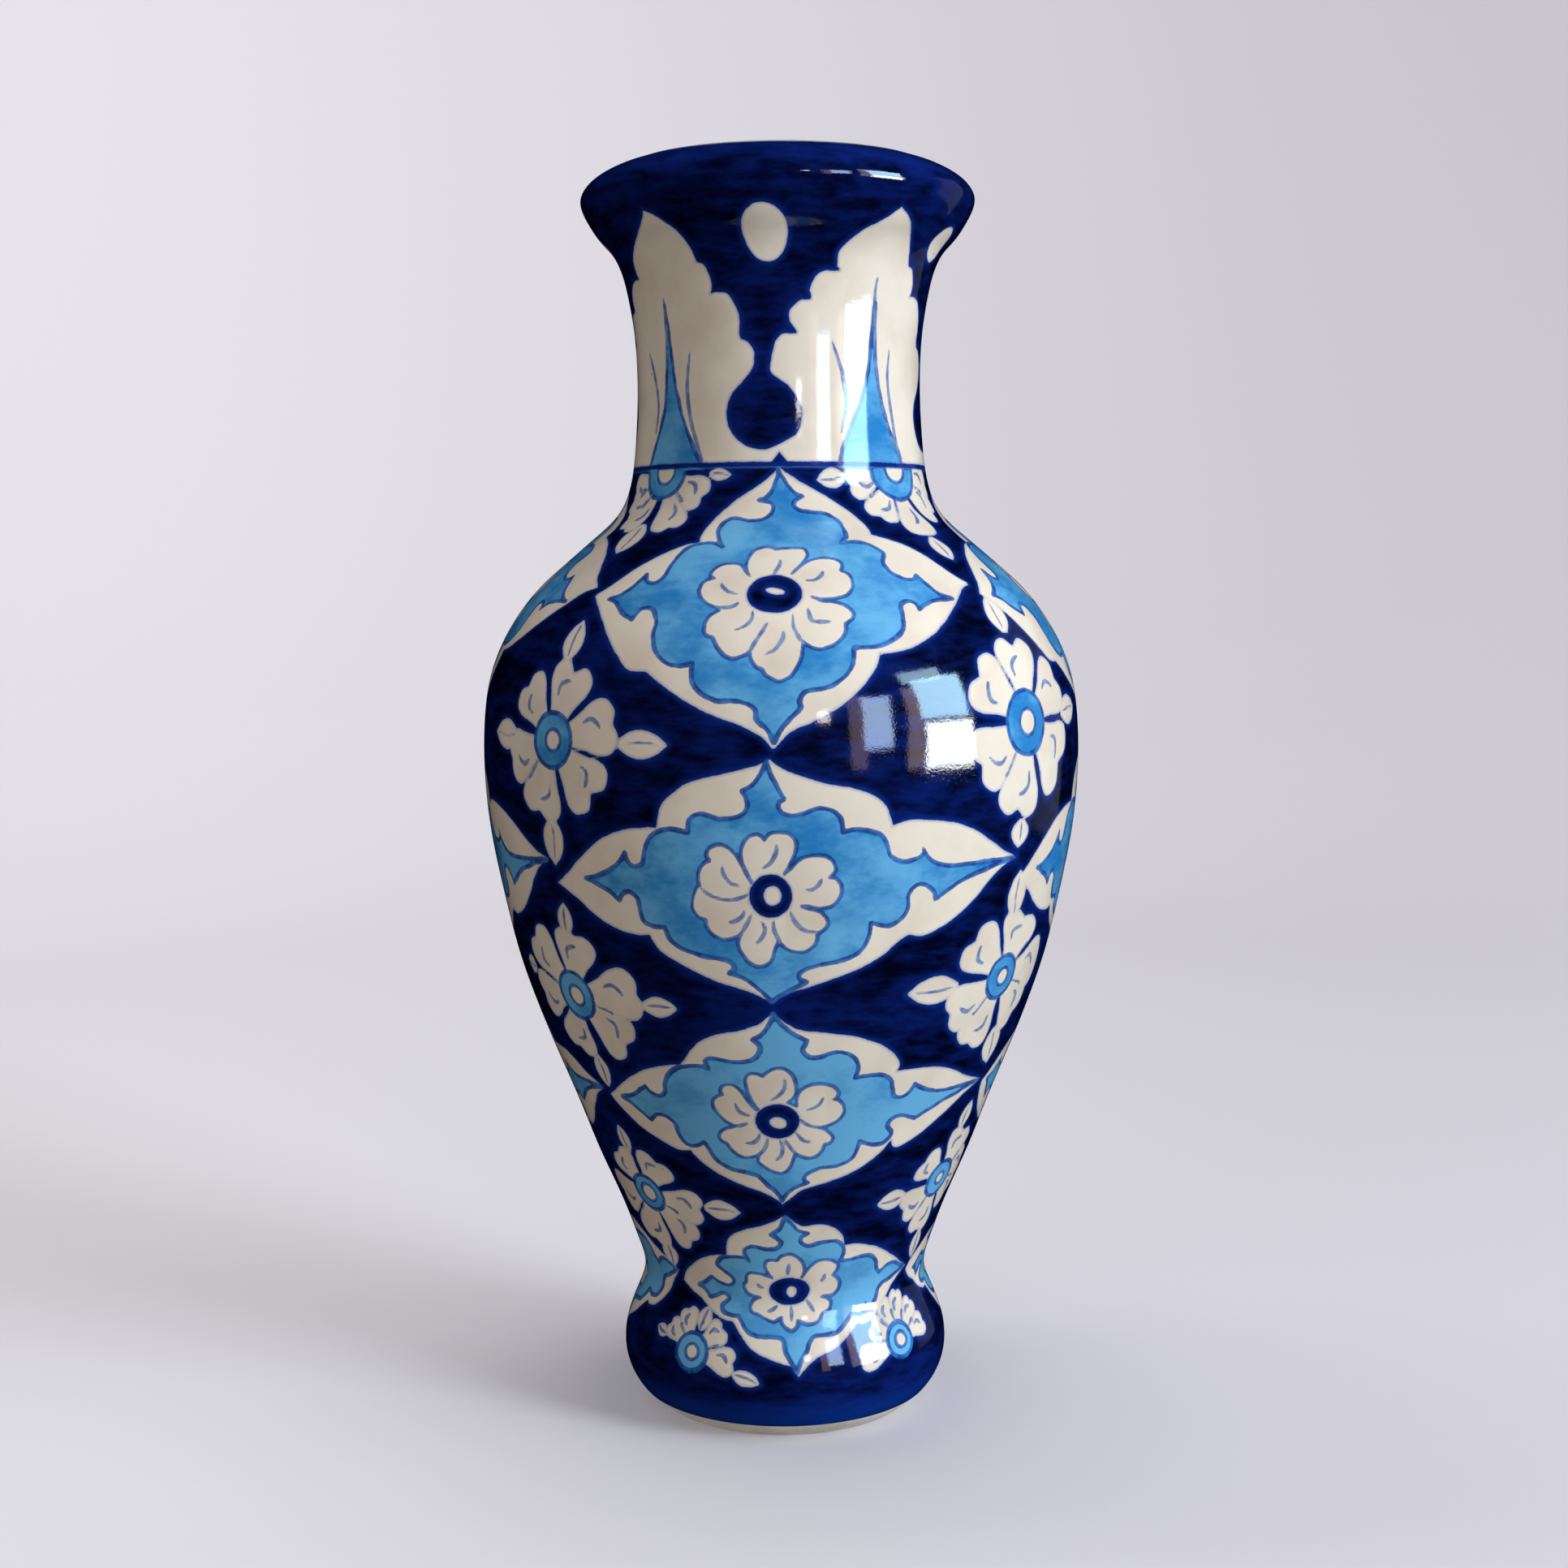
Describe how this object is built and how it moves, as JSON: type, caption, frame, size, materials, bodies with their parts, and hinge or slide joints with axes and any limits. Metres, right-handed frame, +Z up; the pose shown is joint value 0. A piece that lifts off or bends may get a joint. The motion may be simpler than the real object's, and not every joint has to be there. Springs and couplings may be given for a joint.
{
  "type": "vase",
  "caption": "Tall baluster vase in glazed pottery: flared rolled lip, straight neck, round shoulder tapering to a waist, spreading foot.",
  "frame": {"origin": "centre of the foot ring, on the surface the vase stands on", "axes": "+Z up along the axis the vase was turned on, -Y towards the face seen from the front"},
  "size_m": [0.1462, 0.1462, 0.305],
  "materials": {
    "painted_glaze": "clear gloss glaze over cobalt painting",
    "white_glaze": "clear gloss glaze over white slip",
    "bare_clay": "unglazed, matt, slightly gritty",
    "slip": "fired slip, matt"
  },
  "bodies": {
    "root": {"foot_ring": "bare_clay", "ring_slip": "slip", "base_floor": "white_glaze", "foot": "painted_glaze", "waist_slip": "slip", "lower_body": "painted_glaze", "lower_body_slip": "slip", "belly": "painted_glaze", "belly_slip": "slip", "shoulder": "painted_glaze", "neck_slip": "slip", "neck": "painted_glaze", "lip_slip": "slip", "lip": "painted_glaze"}
  },
  "joints": []
}
